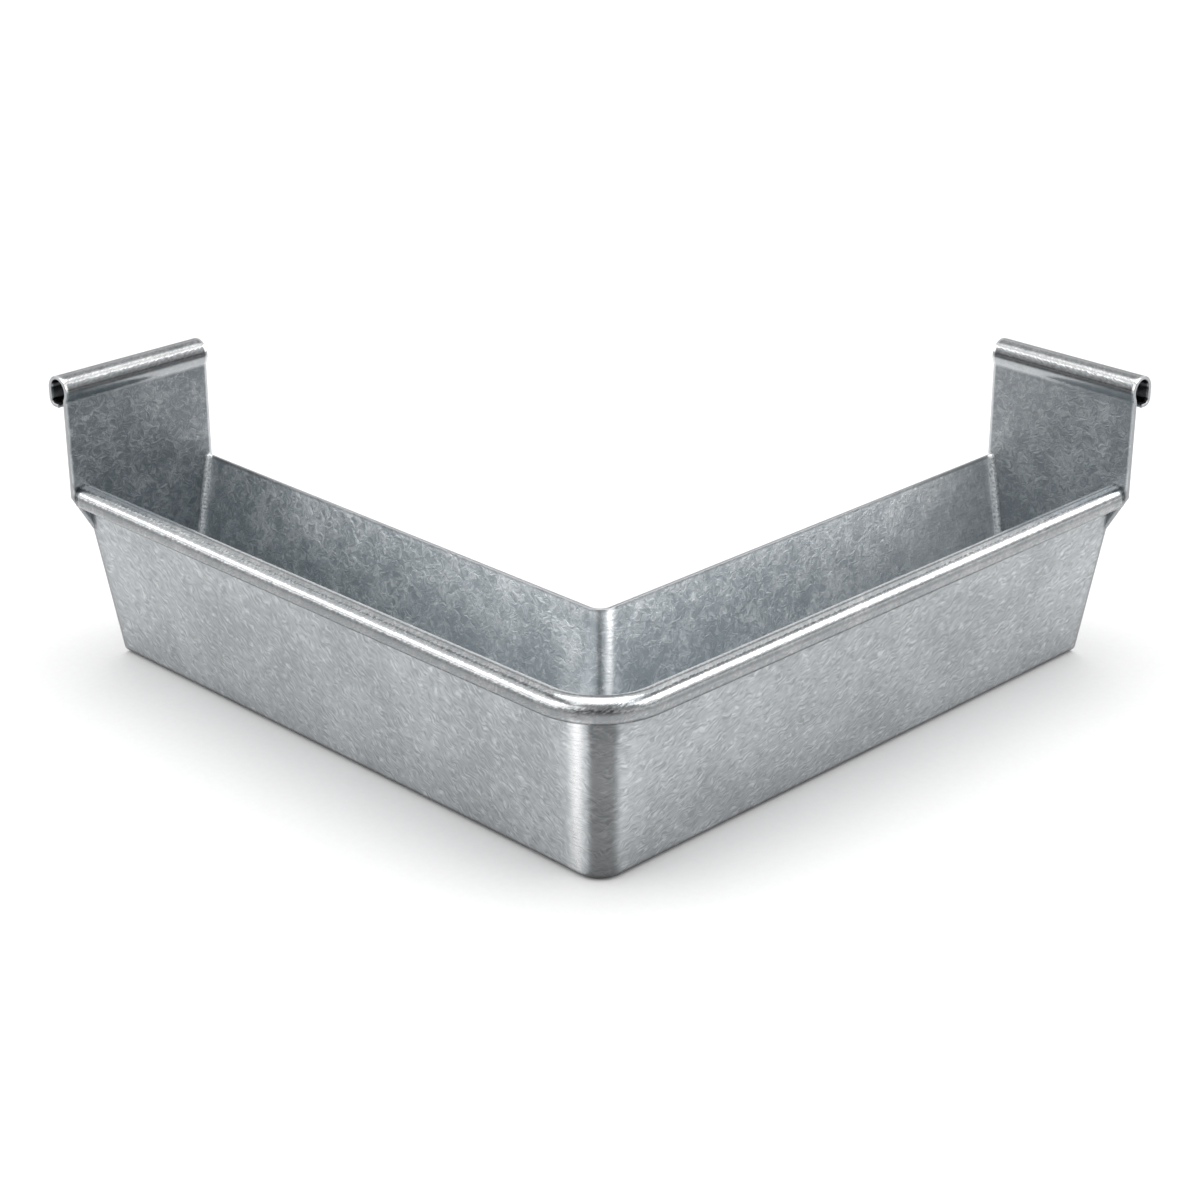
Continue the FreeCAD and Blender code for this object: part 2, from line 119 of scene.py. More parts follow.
@dataclass(frozen=True)
class GutterLines:
    """Lines of the gutter's section that all its pieces share, in metres.

    The section lies across the right arm: y is zero at the upright axis of the outer bend and grows towards the
    building, and z is zero under the sole. The front line is the sharp line where the front wall would meet it.
    """

    arm_end: float
    bead_outside: float
    bead_top: float
    plate_edge: float
    plate_top: float
    hook_outside: float
    back_edge: float
    sheet: float = 0.002
    edge_round: float = 0.0006
    wall_lean: float = math.radians(10.8)
    fold_radius: float = 0.005
    front_line: float = -0.014
    back_bend: float = 0.006
    back_height: float = 0.103
    gusset_foot: float = 0.0795

    @classmethod
    def from_frame(cls) -> "GutterLines":
        """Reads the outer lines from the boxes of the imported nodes.

        Returns:
            The lines of this gutter.
        """
        trough_low, trough_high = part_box("trough")
        plate_low, plate_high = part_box("right_end_plate")
        return cls(
            arm_end=trough_high.x,
            bead_outside=trough_low.y,
            bead_top=trough_high.z,
            plate_edge=plate_low.y,
            plate_top=plate_high.z,
            hook_outside=plate_high.x,
            back_edge=plate_high.y,
        )

    @property
    def slope(self) -> float:
        """Distance that a wall leans out for each unit of its height."""
        return math.tan(self.wall_lean)

    @property
    def back_line(self) -> float:
        """Sharp line where the back wall would meet the sole."""
        return self.back_edge - self.back_height * self.slope

    @property
    def back_axis(self) -> float:
        """Place of the upright axis of the inner bend, the same in x and in y."""
        return self.back_edge + self.back_bend

    @property
    def fold_reach(self) -> float:
        """Distance from a sharp fold line to where its round begins on the sole."""
        return self.fold_radius * math.tan(math.pi / 4 - self.wall_lean / 2)

    @property
    def fold_top(self) -> float:
        """Height at which the round of a fold runs into its wall."""
        return self.fold_radius * (1 - math.sin(self.wall_lean))

    @property
    def front_fold(self) -> float:
        """Line on the sole where the front fold begins."""
        return self.front_line + self.fold_reach

    @property
    def back_fold(self) -> float:
        """Line on the sole where the back fold begins."""
        return self.back_line - self.fold_reach

    def fold_runs(self, radius: float, polish: Pair) -> tuple["Run", "Run"]:
        """Returns the rounds of the front and the back fold, with the polish at the wall and at the sole."""
        front = Run.arc((self.front_fold, self.fold_radius), radius, math.pi + self.wall_lean, 1.5 * math.pi, polish)
        return front, Run.arc((self.back_fold, self.fold_radius), radius, -math.pi / 2, -self.wall_lean, polish[::-1])

    def thickness_at(self, edge_distance: Array) -> Array:
        """Returns half of the thickness at a distance d from a rounded edge: sheet / 2 - r + sqrt(r^2 - (r - d)^2)."""
        inset = self.edge_round - np.clip(edge_distance, 0.0, self.edge_round)
        return self.sheet / 2 - self.edge_round + np.sqrt(self.edge_round**2 - inset**2)


def edge_steps(length: float, radius: float) -> Array:
    """Returns distances that crowd towards a rounded edge, radius * (1 - cos a) for even angles a."""
    return min(radius, length * 0.9) * (1 - np.cos(np.linspace(0, math.pi / 2, EDGE_POINTS + 1)))


@dataclass(frozen=True)
class Run:
    """Stretch of a sheet's middle line, seen end on.

    The points and the headings are arrays of pairs, and the polish is one number at each point, one where a tool
    has rolled the zinc smooth.
    """

    points: Array
    headings: Array
    polish: Array

    @classmethod
    def line(
        cls, start: Pair, end: Pair, step: float = GRID_STEP, polish: float = 0.0, end_round: float = 0.0
    ) -> "Run":
        """Straight stretch, start + t * (end - start).

        Args:
            start: First point.
            end: Last point.
            step: Longest distance between points.
            polish: Polish of the whole stretch.
            end_round: Edge round at a free end, where points crowd together.

        Returns:
            The stretch.
        """
        first, last = np.array(start, float), np.array(end, float)
        length = float(np.linalg.norm(last - first))
        distances = np.linspace(0.0, length, max(2, int(math.ceil(length / step)) + 1))
        if end_round:
            distances = np.concatenate([distances, length - edge_steps(length / 2, end_round)])
        along = np.unique(np.round(distances, 9)) / length
        headings = np.repeat((last - first)[None, :] / length, len(along), axis=0)
        return cls(first + along[:, None] * (last - first), headings, np.full(len(along), polish))

    @classmethod
    def arc(cls, centre: Pair, radius: float, first: float, last: float, polish: Pair = (1.0, 1.0)) -> "Run":
        """Round stretch, centre + radius * (cos a, sin a) for angles a from first to last.

        Args:
            centre: Centre of the round.
            radius: Radius of the middle line.
            first: Angle at the start, in radians.
            last: Angle at the end.
            polish: Polish at the start and at the end.

        Returns:
            The stretch.
        """
        count = max(6, int(math.ceil(abs(last - first) / ARC_STEP)))
        angles = np.linspace(first, last, count + 1)
        rays = np.column_stack([np.cos(angles), np.sin(angles)])
        headings = math.copysign(1.0, last - first) * np.column_stack([-rays[:, 1], rays[:, 0]])
        return cls(np.array(centre) + radius * rays, headings, np.linspace(*polish, len(angles)))

    @staticmethod
    def joined(runs: list["Run"]) -> "Run":
        """Returns stretches joined end to end in the order of travel, without each repeated first point."""
        rows = zip(*[(run.points, run.headings, run.polish) for run in runs])
        return Run(*[np.concatenate([first, *[part[1:] for part in rest]]) for first, *rest in rows])

    @property
    def turned(self) -> "Run":
        """The same stretch, travelled the other way."""
        return Run(self.points[::-1], -self.headings[::-1], self.polish[::-1])

    @property
    def normals(self) -> Array:
        """Directions to the left of travel."""
        return np.column_stack([-self.headings[:, 1], self.headings[:, 0]])

    @property
    def distances(self) -> Array:
        """Distance of each point from the start, along the line."""
        steps = np.linalg.norm(np.diff(self.points, axis=0), axis=1)
        return np.concatenate([[0.0], np.cumsum(steps)])

    @property
    def past_top(self) -> Array:
        """Distance of each point past the highest one, along the line."""
        return self.distances - self.distances[np.argmax(self.points[:, 1])]


@dataclass(frozen=True)
class RolledEdge:
    """Roll along the top of a wall, seen end on with outwards negative, in metres.

    The sheet leaves the wall in a reverse bend, rolls outwards over the top, runs straight down in a skirt and
    curls back under to a level lip.
    """

    width: float
    skirt: float
    curl: float
    lip_run: float
    neck: float
    lip_round: float

    def runs(self, foot: Pair, lean: float, outside: float, top: float, sheet: float) -> list[Run]:
        """Middle line from a point of the wall to the end of the lip.

        The reverse bend's centre lies one bend radius inside the wall and one bend radius plus one roll radius
        from the roll's centre, so the three stretches touch without a corner.

        Args:
            foot: Point of the wall's middle line where the stretch begins.
            lean: Angle by which the wall leans outwards, in radians.
            outside: Outermost line of the roll.
            top: Height of the roll's top.
            sheet: Thickness of the sheet.

        Returns:
            Wall, reverse bend, roll, skirt, curl and lip.
        """
        roll_radius = self.width / 2 - sheet / 2
        neck_radius = self.neck + sheet / 2
        curl_radius = self.curl - sheet / 2
        roll_centre = np.array([outside + self.width / 2, top - self.width / 2])
        up = np.array([-math.sin(lean), math.cos(lean)])
        inwards = np.array([math.cos(lean), math.sin(lean)])
        rise, depth = (roll_centre - foot) @ up, (roll_centre - foot) @ inwards
        wall_length = rise - math.sqrt((roll_radius + neck_radius) ** 2 - (neck_radius - depth) ** 2)
        wall_end = np.array(foot) + wall_length * up
        neck_centre = wall_end + neck_radius * inwards
        towards = roll_centre - neck_centre
        neck_last = math.atan2(towards[1], towards[0])
        skirt_line = outside + sheet / 2
        skirt_end = roll_centre[1] - self.skirt
        curl_line = outside + self.curl
        lip_height = skirt_end - curl_radius
        lip = (curl_line, lip_height), (curl_line + self.lip_run, lip_height)
        return [
            Run.line(foot, wall_end),
            Run.arc(neck_centre, neck_radius, math.pi + lean, neck_last, (0.0, 1.0)),
            Run.arc(roll_centre, roll_radius, neck_last - math.pi, math.pi),
            Run.line((skirt_line, roll_centre[1]), (skirt_line, skirt_end), polish=1.0),
            Run.arc((curl_line, skirt_end), curl_radius, math.pi, 1.5 * math.pi, (1.0, 0.6)),
            Run.line(*lip, polish=0.6, end_round=self.lip_round),
        ]


@dataclass(frozen=True)
class Ripple:
    """Gentle unevenness of a flat sheet: a few waves of seeded direction, length and phase, added up."""

    depth: float = 0.00012
    shortest: float = 0.028
    longest: float = 0.09
    waves: int = 7
    seed: int = 11

    def at(self, u: Array, v: Array) -> Array:
        """Height of the surface, depth / sqrt(waves) * the sum of sin(k . (u, v) + phase) over the waves.

        Args:
            u: Distance along the sheet.
            v: Distance across the sheet.

        Returns:
            Height at each point.
        """
        chance = np.random.default_rng(self.seed)
        angles = chance.uniform(0, math.pi, self.waves)
        lengths = chance.uniform(self.shortest, self.longest, self.waves)
        phases = chance.uniform(0, 2 * math.pi, self.waves)
        kx = 2 * math.pi * np.cos(angles) / lengths
        ky = 2 * math.pi * np.sin(angles) / lengths
        waves = np.sin(u[..., None] * kx + v[..., None] * ky + phases)
        return self.depth * waves.sum(axis=-1) / math.sqrt(self.waves)


def put(name: str, data: bpy.types.ID, place: Place = ORIGIN, turn: Place = ORIGIN) -> Piece:
    """Puts an object into the scene.

    Args:
        name: Name of the object.
        data: Mesh, light or camera.
        place: Where it stands.
        turn: Angles about X, Y and Z.

    Returns:
        The object.
    """
    made = bpy.data.objects.new(name, data)
    made.location = place
    made.rotation_euler = turn
    bpy.context.scene.collection.objects.link(made)
    return made


def new_piece(name: str, points: Array, faces: list[list[int]], closed: bool = True) -> Piece:
    """Makes a mesh object at the origin.

    Args:
        name: Name of the piece.
        points: Points of the mesh, on a grid of any shape.
        faces: Corner numbers of each face.
        closed: Whether the mesh is closed, so that its faces are turned outwards and shaded smooth.

    Returns:
        The object.
    """
    mesh = bpy.data.meshes.new(name)
    mesh.from_pydata(points.reshape(-1, 3).tolist(), [], faces)
    if closed:
        work = bmesh.new()
        work.from_mesh(mesh)
        bmesh.ops.recalc_face_normals(work, faces=work.faces)
        work.to_mesh(mesh)
        work.free()
        mesh.update()
        mesh.polygons.foreach_set("use_smooth", np.ones(len(mesh.polygons), bool))
    return put(name, mesh)


def settle(piece: Piece, finish: bpy.types.Material, node: str) -> Piece:
    """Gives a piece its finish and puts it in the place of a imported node.

    Args:
        piece: Piece without a finish.
        finish: Material of the piece.
        node: Node that the piece stands for.

    Returns:
        The same piece.
    """
    piece.data.materials.append(finish)
    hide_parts(node)
    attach(piece, "root")
    return piece


@dataclass
class BentSheet:
    """Closed skin of a bent sheet, from a grid of its middle surface.

    One face is the middle surface plus half of the thickness along the normal, the other is the middle surface
    less that, and the four rims are closed with strips. A mark is a grid, or a pair of grids for the two faces.
    """

    middle: Array
    normals: Array
    half: Array
    flat: Array
    marks: dict[Mark, Array]
    left_is_inside: bool

    def faces(self) -> Array:
        """Quads of both faces and the rims.

        Returns:
            Corner numbers, four to a row.
        """
        index = np.arange(self.half.size).reshape(self.half.shape)
        ring = np.concatenate([index[0, :], index[1:, -1], index[-1, -2::-1], index[-2:0:-1, 0]])
        after = np.roll(ring, -1)
        rim = grid(ring, after, after + index.size, ring + index.size)
        return np.concatenate([quads(index), quads(index + index.size)[:, TURNED_OVER], rim])

    def build(self, name: str) -> Piece:
        """Makes the mesh object, with its flat map and its marks.

        Args:
            name: Name of the piece.

        Returns:
            The object, at the origin.
        """
        offset = self.normals * self.half[..., None]
        piece = new_piece(name, np.stack([self.middle + offset, self.middle - offset]), self.faces().tolist())
        mesh = piece.data
        flat = np.stack([self.flat, self.flat + FAR_FACE_SHIFT]).reshape(-1, 2)
        corners = np.zeros(len(mesh.loops), np.int32)
        mesh.loops.foreach_get("vertex_index", corners)
        layer = mesh.uv_layers.new(name=SHEET_UV)
        layer.data.foreach_set("uv", flat[corners].astype(np.float32).ravel())
        inside = np.array([self.left_is_inside, not self.left_is_inside], float)[:, None, None]
        marks = {**self.marks, Mark.INSIDE: inside}
        for mark in Mark:
            values = np.broadcast_to(marks.get(mark, 0.0), (2, *self.half.shape))
            layer = mesh.attributes.new(mark.value, "FLOAT", "POINT")
            layer.data.foreach_set("value", values.astype(np.float32).ravel())
        return piece


@dataclass(frozen=True)
class RollPaintedLight:
    """Painted light across a rolled edge: pairs of a distance past the roll's top, in millimetres, and a tone.

    One is painted highlight, zero is plain zinc and minus one is deep painted shade. The distances lie within half of
    the length.
    """

    stops: tuple[tuple[float, float], ...]
    length: float = 60.0


# Painted highlights, painted reflections and painted shade in bands across each bead and across the hooks.
LEFT_BEAD_PAINTED_LIGHT = RollPaintedLight((
    (-20.0, -1.0), (-13.2, -1.0), (-12.4, -0.42), (-9.6, -0.5), (-8.6, -0.72), (-7.9, -0.72), (-7.3, -0.45),
    (-6.8, 0.3), (-5.6, 0.3), (-5.0, -0.5), (-4.6, -0.7), (-4.0, -0.75), (-3.3, -0.7), (-2.4, -0.2), (-0.8, -0.2),
    (-0.1, -0.42), (0.4, -0.34), (1.2, 0.4), (3.0, 0.4), (6.0, 0.0),
))
RIGHT_BEAD_PAINTED_LIGHT = RollPaintedLight((
    (-20.0, -1.0), (-13.0, -1.0), (-12.2, -0.5), (-11.6, -0.4), (-9.2, -0.42), (-8.6, -0.64), (-8.0, -0.64),
    (-7.4, -0.4), (-6.6, -0.44), (-6.1, -0.6), (-5.6, -0.44), (-5.1, 0.3), (-4.2, 0.3), (-3.7, -0.5), (-3.2, -0.7),
    (-2.7, -0.55), (-2.2, 0.05), (-1.0, 0.05), (-0.2, -0.44), (0.4, -0.4), (1.2, 0.4), (3.0, 0.4), (6.0, 0.0),
))
CORNER_BEAD_PAINTED_LIGHT = RollPaintedLight((
    (-20.0, -1.0), (-14.2, -1.0), (-13.4, -0.6), (-12.6, -0.42), (-11.6, -0.44), (-10.6, -0.56), (-9.7, -0.62),
    (-8.7, -0.76), (-7.8, -0.9), (-7.2, -0.88), (-6.6, -0.76), (-5.5, -0.66), (-4.2, -0.66), (-3.5, -0.3),
    (-2.7, 0.8), (-1.2, 0.8), (-0.6, -0.3), (0.2, -0.5), (1.0, -0.5), (6.0, 0.0),
))
HOOK_PAINTED_LIGHT = RollPaintedLight((
    (-20.0, 0.4), (-17.3, 0.35), (-15.1, 0.0), (-13.0, -0.04), (-11.8, -0.4), (-10.5, -0.8), (-8.9, -0.82),
    (-8.0, -0.7), (-7.3, -0.4), (-6.7, 0.8), (-5.2, 0.95), (-4.6, -0.1), (-4.0, -0.36), (-2.2, -0.2), (-1.4, 0.1),
    (-0.4, -0.15), (20.0, -0.15),
))


@dataclass(frozen=True)
class Cloud:
    """Cloudy noise: clouds to a unit, finer layers, their strength, and how far the clouds are pulled about."""

    scale: float
    detail: float = 2.0
    roughness: float = 0.5
    distortion: float = 0.0


class NodeBoard:
    """Node tree of a material or of the room's light, with short calls for the nodes that it needs."""

    def __init__(self, owner: bpy.types.Material | bpy.types.World) -> None:
        """Starts an empty tree.

        Args:
            owner: Material or world that the tree belongs to.
        """
        owner.use_nodes = True
        self.owner = owner
        self.tree = owner.node_tree
        self.tree.nodes.clear()

    def node(self, kind: str, sockets: dict[int | str, object] | None = None, **settings: object) -> bpy.types.Node:
        """Adds a node.

        Args:
            kind: Blender's name for the node, after the word ShaderNode.
            sockets: Number, colour or other node's socket for some inputs, by their numbers or names.
            settings: Settings of the node.

        Returns:
            The node.
        """
        made = self.tree.nodes.new(f"ShaderNode{kind}")
        for key, value in settings.items():
            setattr(made, key, value)
        for key, value in (sockets or {}).items():
            if isinstance(value, Socket):
                self.tree.links.new(value, made.inputs[key])
            else:
                made.inputs[key].default_value = value
        return made

    def math(self, operation: str, a: object, b: object = 0.0, c: object = 0.0, clamp: bool = False) -> Socket:
        """Returns the result of an operation on one, two or three numbers."""
        return self.node("Math", {0: a, 1: b, 2: c}, operation=operation, use_clamp=clamp).outputs[0]

    def blend(self, factor: object, a: object, b: object) -> Socket:
        """Returns a number that is a where the factor is zero and b where it is one."""
        return self.node("Mix", {0: factor, 2: a, 3: b}, data_type="FLOAT").outputs[0]

    def tint(self, factor: object, a: object, b: object, method: str = "MIX") -> Socket:
        """Returns a colour that is a where the factor is zero, and b or their product where it is one."""
        return self.node("Mix", {0: factor, 6: a, 7: b}, data_type="RGBA", blend_type=method).outputs[2]

    def span(self, value: object, low: float, high: float, to_low: float = 0.0, to_high: float = 1.0) -> Socket:
        """Returns the range from low to high, stretched to another range, clamped and with soft ends."""
        sockets = {0: value, 1: low, 2: high, 3: to_low, 4: to_high}
        return self.node("MapRange", sockets, interpolation_type="SMOOTHSTEP").outputs[0]

    def vectors(self, operation: str, *values: object) -> bpy.types.Node:
        """Returns a node with an operation on vectors."""
        return self.node("VectorMath", dict(enumerate(values)), operation=operation)

    def mapped(self, vector: Socket, scale: Place, turn: float = 0.0) -> Socket:
        """Returns coordinates turned by an angle, then scaled."""
        turned = self.node("Mapping", {"Vector": vector, "Rotation": (0.0, 0.0, -turn)}).outputs[0]
        return self.node("Mapping", {"Vector": turned, "Scale": scale}).outputs[0]

    def noise(self, vector: Socket, cloud: Cloud, solid: bool = False) -> Socket:
        """Returns cloudy noise from zero to one, which lies on a flat map or fills space."""
        sockets = {"Vector": vector} | {name.title(): value for name, value in vars(cloud).items()}
        return self.node("TexNoise", sockets, noise_dimensions="3D" if solid else "2D").outputs["Fac"]

    def warped(self, vector: Socket, scale: float, reach: float) -> Socket:
        """Returns coordinates pulled about by up to a reach, in clouds of a scale."""
        cloud = self.node("TexNoise", {"Vector": vector, "Scale": scale, "Detail": 1.0}, noise_dimensions="2D")
        return self.vectors("MULTIPLY_ADD", cloud.outputs["Color"], (2 * reach,) * 3, vector).outputs[0]

    def ridge(self, noise: Socket, width: float) -> Socket:
        """Returns one on thin lines where noise passes its middle value, and zero away from them."""
        off = self.math("ABSOLUTE", self.math("SUBTRACT", noise, 0.5))
        return self.span(off, 0.0, width, 1.0, 0.0)

    def weigh(self, *parts: tuple[Socket, float]) -> Socket:
        """Adds up patterns about a half: 0.5 + the sum of weight * (pattern - 0.5).

        Args:
            parts: Pairs of a pattern and its weight.

        Returns:
            The sum, kept between zero and one.
        """
        total = 0.5 - 0.5 * sum(weight for _, weight in parts)
        for pattern, weight in parts:
            total = self.math("MULTIPLY_ADD", pattern, weight, total)
        return self.math("MINIMUM", self.math("MAXIMUM", total, 0.0), 1.0)

    def ramp(self, value: Socket, tones: RollPaintedLight) -> Socket:
        """Painted light of a rolled edge.

        Args:
            value: Distance past the roll's top, in metres.
            tones: Painted light of the roll.

        Returns:
            Painted light, from minus one to one.
        """
        share = self.math("MULTIPLY_ADD", value, 1 / (tones.length * MILLI), 0.5)
        made = self.node("ValToRGB", {0: share})
        stops = made.color_ramp.elements
        while len(stops) < len(tones.stops):
            stops.new(1.0)
        for stop, (distance, tone) in zip(stops, tones.stops):
            stop.position = distance / tones.length + 0.5
            stop.color = grey(0.5 + 0.5 * tone)
        return self.math("MULTIPLY_ADD", made.outputs["Color"], 2.0, -1.0)

    def tipped(self, rise: Socket) -> Socket:
        """Returns the surface's normal tipped upwards: the normal plus rise * (0, 0, 1), made one long."""
        normal, lift = self.node("NewGeometry").outputs["Normal"], self.node("CombineXYZ", {2: rise}).outputs[0]
        return self.vectors("NORMALIZE", self.vectors("ADD", normal, lift).outputs[0]).outputs[0]

    def bump(self, height: Socket, distance: float, strength: float, normal: Socket | None = None) -> Socket:
        """Returns the normal of a height from zero to one, which is a real distance at one."""
        sockets = {"Height": height, "Distance": distance, "Strength": strength}
        return self.node("Bump", sockets | ({"Normal": normal} if normal else {})).outputs["Normal"]

    def finish(self, colour: Socket, roughness: Socket, normal: Socket, metallic: float = 1.0) -> bpy.types.Material:
        """Closes the tree of a material with its shader.

        Args:
            colour: Base colour.
            roughness: Roughness.
            normal: Normal, from a bump.
            metallic: Share of metal.

        Returns:
            The material.
        """
        sockets = {"Base Color": colour, "Metallic": metallic, "Roughness": roughness, "Normal": normal}
        self.node("OutputMaterial", {"Surface": self.node("BsdfPrincipled", sockets).outputs["BSDF"]})
        return self.owner


class SheetBoard(NodeBoard):
    """Node tree of a sheet's finish, with the places and the marks on the sheet."""

    def __init__(self, name: str, arm_blend: float = 0.012) -> None:
        """Starts the material.

        Args:
            name: Name of the material.
            arm_blend: Distance from the outer bend over which one arm's patterns give way to the other's.
        """
        super().__init__(bpy.data.materials.new(name))
        self.sheet = self.node("UVMap", uv_map=SHEET_UV).outputs[0]
        self.pulled = self.warped(self.sheet, 120.0, 0.003)
        self.along = self.node("SeparateXYZ", {0: self.sheet}).outputs[0]
        self.on_right = self.span(self.along, -arm_blend, arm_blend)

    def mark(self, mark: Mark) -> Socket:
        """Returns a mark of the mesh."""
        return self.node("Attribute", attribute_name=mark.value).outputs["Fac"]


@dataclass(frozen=True)
class ZincSheet:
    """Hot-dipped zinc on rolled sheet: feathery slanting flakes outside, clouds and curls inside, painted highlights
    and shade on bends and rolls.
    """

    name: str
    light: Colour = (0.62, 0.645, 0.66, 1.0)
    dark: Colour = (0.34, 0.357, 0.37, 1.0)
    # Inside tones: painted light, lighter than the outside ones so that the faces inside the trough look brighter.
    inside_light: Colour = (0.94, 0.955, 0.965, 1.0)
    inside_dark: Colour = (0.51, 0.55, 0.575, 1.0)
    # Burnish colour, also used for painted highlights on the bends and rolled edges.
    bright: Colour = (0.92, 0.925, 0.93, 1.0)
    # Painted shade and deeper painted shade for the bends and rolled edges.
    dull: Colour = grey(0.38)
    grime: Colour = grey(0.20)
    weathered: Colour = grey(0.50)
    cut: Colour = (0.36, 0.37, 0.38, 1.0)
    # Line along cut edges; the plates' bright one is a painted highlight.
    burr: Colour = (0.30, 0.31, 0.32, 1.0)
    slants: tuple[float, float] = (math.radians(36), math.radians(-18))  # of the flakes, left and right
    flake_grid: Place = (1 / 0.0052, 1 / 0.0014, 1.0)
    hatch_grid: Place = (380.0, 1300.0, 1.0)
    hatch_slant: float = math.radians(24)
    scuff_grid: Place = (110.0, 1300.0, 1.0)
    clouds: Cloud = Cloud(20.0, 3.0, 0.55, 0.3)
    flakes: Cloud = Cloud(1.0, 3.0, 0.58, 0.35)
    strokes: Cloud = Cloud(0.6, 1.0)
    flake_patches: Cloud = Cloud(150.0)
    broad: Cloud = Cloud(60.0, 3.0, 0.55, 0.4)
    fine: Cloud = Cloud(300.0, 4.0, 0.62, 0.9)
    curls: Cloud = Cloud(240.0, 2.0, 0.55, 1.6)
    curl_patches: Cloud = Cloud(130.0)
    hatch: Cloud = Cloud(1.0, 3.0, 0.6)
    scuffs: Cloud = Cloud(1.0, 3.0, 0.65, 0.3)
    grit: Cloud = Cloud(1100.0, 2.0, 0.6)
    ragged: float = 0.0015
    # Painted highlight, reflection and shade bands across the rolled edges, and painted shade in the hollow inside
    # each roll.
    roll_tones: tuple[RollPaintedLight, ...] = (LEFT_BEAD_PAINTED_LIGHT, RIGHT_BEAD_PAINTED_LIGHT, CORNER_BEAD_PAINTED_LIGHT)
    hollow_tone: float = -0.80
    rough: float = 0.42
    polished: float = 0.20
    matt: float = 0.80
    relief: float = 0.0006

    def material(self) -> bpy.types.Material:
        """Builds the material: the sheet's own pattern, then the marks of tools, painted highlights and painted shade
        on the bends and rolled edges, weather and cuts.

        Returns:
            The zinc material.
        """
        board = SheetBoard(self.name)
        polish, inside = board.mark(Mark.POLISH), board.mark(Mark.INSIDE)
        clouds = board.noise(board.sheet, self.clouds)
        feathers, strokes = self.feathers(board)
        blotches, curls = self.blotches(board)
        outer = board.weigh((clouds, 0.9), (feathers, 2.9), (strokes, 0.4))
        inner = board.weigh((clouds, 0.9), (blotches, 2.0), (curls, 0.7), (feathers, 1.3))
        outer = board.tint(outer, self.dark, self.light)
        # The inner face takes its own tones, a painted-light copy of the zinc: lighter in the trough, darker on the
        # end plates.
        colour = board.tint(inside, outer, board.tint(inner, self.inside_dark, self.inside_light))

        hatch = board.noise(board.mapped(board.sheet, self.hatch_grid, self.hatch_slant), self.hatch)
        # Painted light: strips of painted highlight and shade on the bends, and painted highlight, reflection and
        # shade bands on the rolled edges.
        rub = self.scuffed(board)
        # Painted shade in the hollow inside each roll.
        hollow = board.math("GREATER_THAN", board.math("SUBTRACT", polish, inside), 0.55)
        tone = board.blend(polish, rub, self.rolled(board, hatch))
        tone = board.blend(hollow, tone, self.hollow_tone)
        matt, edge = board.mark(Mark.MATT), board.mark(Mark.EDGE)
        # Layers: burnish, painted highlight, painted shade, deeper painted shade, weathering, edge line (a painted
        # highlight on the plates) and cut edges.
        layers = (
            (board.math("MULTIPLY", polish, 0.3), self.bright, "MIX"),
            (board.math("MULTIPLY", tone, 0.95, clamp=True), self.bright, "MIX"),
            (board.span(tone, -0.55, 0.0, 1.0, 0.0), self.dull, "MULTIPLY"),
            (board.span(tone, -1.0, -0.55, 1.0, 0.0), self.grime, "MULTIPLY"),
            (matt, self.weathered, "MULTIPLY"),
            (board.math("MULTIPLY", board.span(edge, 0.3, 0.55), 0.7), self.burr, "MIX"),
            (board.span(edge, 0.65, 0.8), self.cut, "MIX"),
        )
        for share, over, method in layers:
            colour = board.tint(share, colour, over, method)

        uneven = board.math("MULTIPLY", board.math("SUBTRACT", blotches, 0.5), 0.25)
        outside_painted_bend_light = board.math("MULTIPLY", rub, board.math("SUBTRACT", 0.8, inside))
        shine = board.math("MAXIMUM", polish, outside_painted_bend_light)
        smooth = board.blend(matt, board.blend(shine, self.rough, self.polished), self.matt)
        roughness = board.math("ADD", smooth, uneven)
        grit = board.noise(board.sheet, self.grit)
        relief = board.weigh((board.blend(inside, feathers, blotches), 0.8), (strokes, 0.15), (grit, 0.12))
        height = board.blend(polish, relief, board.math("MULTIPLY", hatch, 0.12))
        dished = board.math("MULTIPLY", board.math("MAXIMUM", rub, 0.0), board.math("MULTIPLY", inside, 0.26))
        return board.finish(colour, roughness, board.bump(height, self.relief, 0.5, board.tipped(dished)))

    def feathers(self, board: SheetBoard) -> tuple[Socket, Socket]:
        """Long flakes that slant one way on each arm, and thin strokes in patches among them.

        Args:
            board: Node tree to add to.

        Returns:
            The flakes and the strokes.
        """
        grids = [board.mapped(board.pulled, self.flake_grid, slant) for slant in self.slants]
        flakes = board.blend(board.on_right, *[board.noise(grid, self.flakes) for grid in grids])
        lines = [board.ridge(board.noise(grid, self.strokes), 0.05) for grid in grids]
        patches = board.span(board.noise(board.sheet, self.flake_patches), 0.38, 0.64)
        faint = board.blend(patches, board.blend(0.45, 0.5, flakes), flakes)
        return faint, board.math("MULTIPLY", board.blend(board.on_right, *lines), patches)

    def blotches(self, board: SheetBoard) -> tuple[Socket, Socket]:
        """Cloudy crystals, and curly marks in loose groups.

        Args:
            board: Node tree to add to.

        Returns:
            The crystals and the curls.
        """
        broad, fine, curls = [board.noise(board.pulled, cloud) for cloud in (self.broad, self.fine, self.curls)]
        lines = board.ridge(curls, 0.032)
        patches = board.span(board.noise(board.sheet, self.curl_patches), 0.44, 0.60)
        return board.weigh((broad, 0.5), (fine, 0.95)), board.math("MULTIPLY", lines, patches)

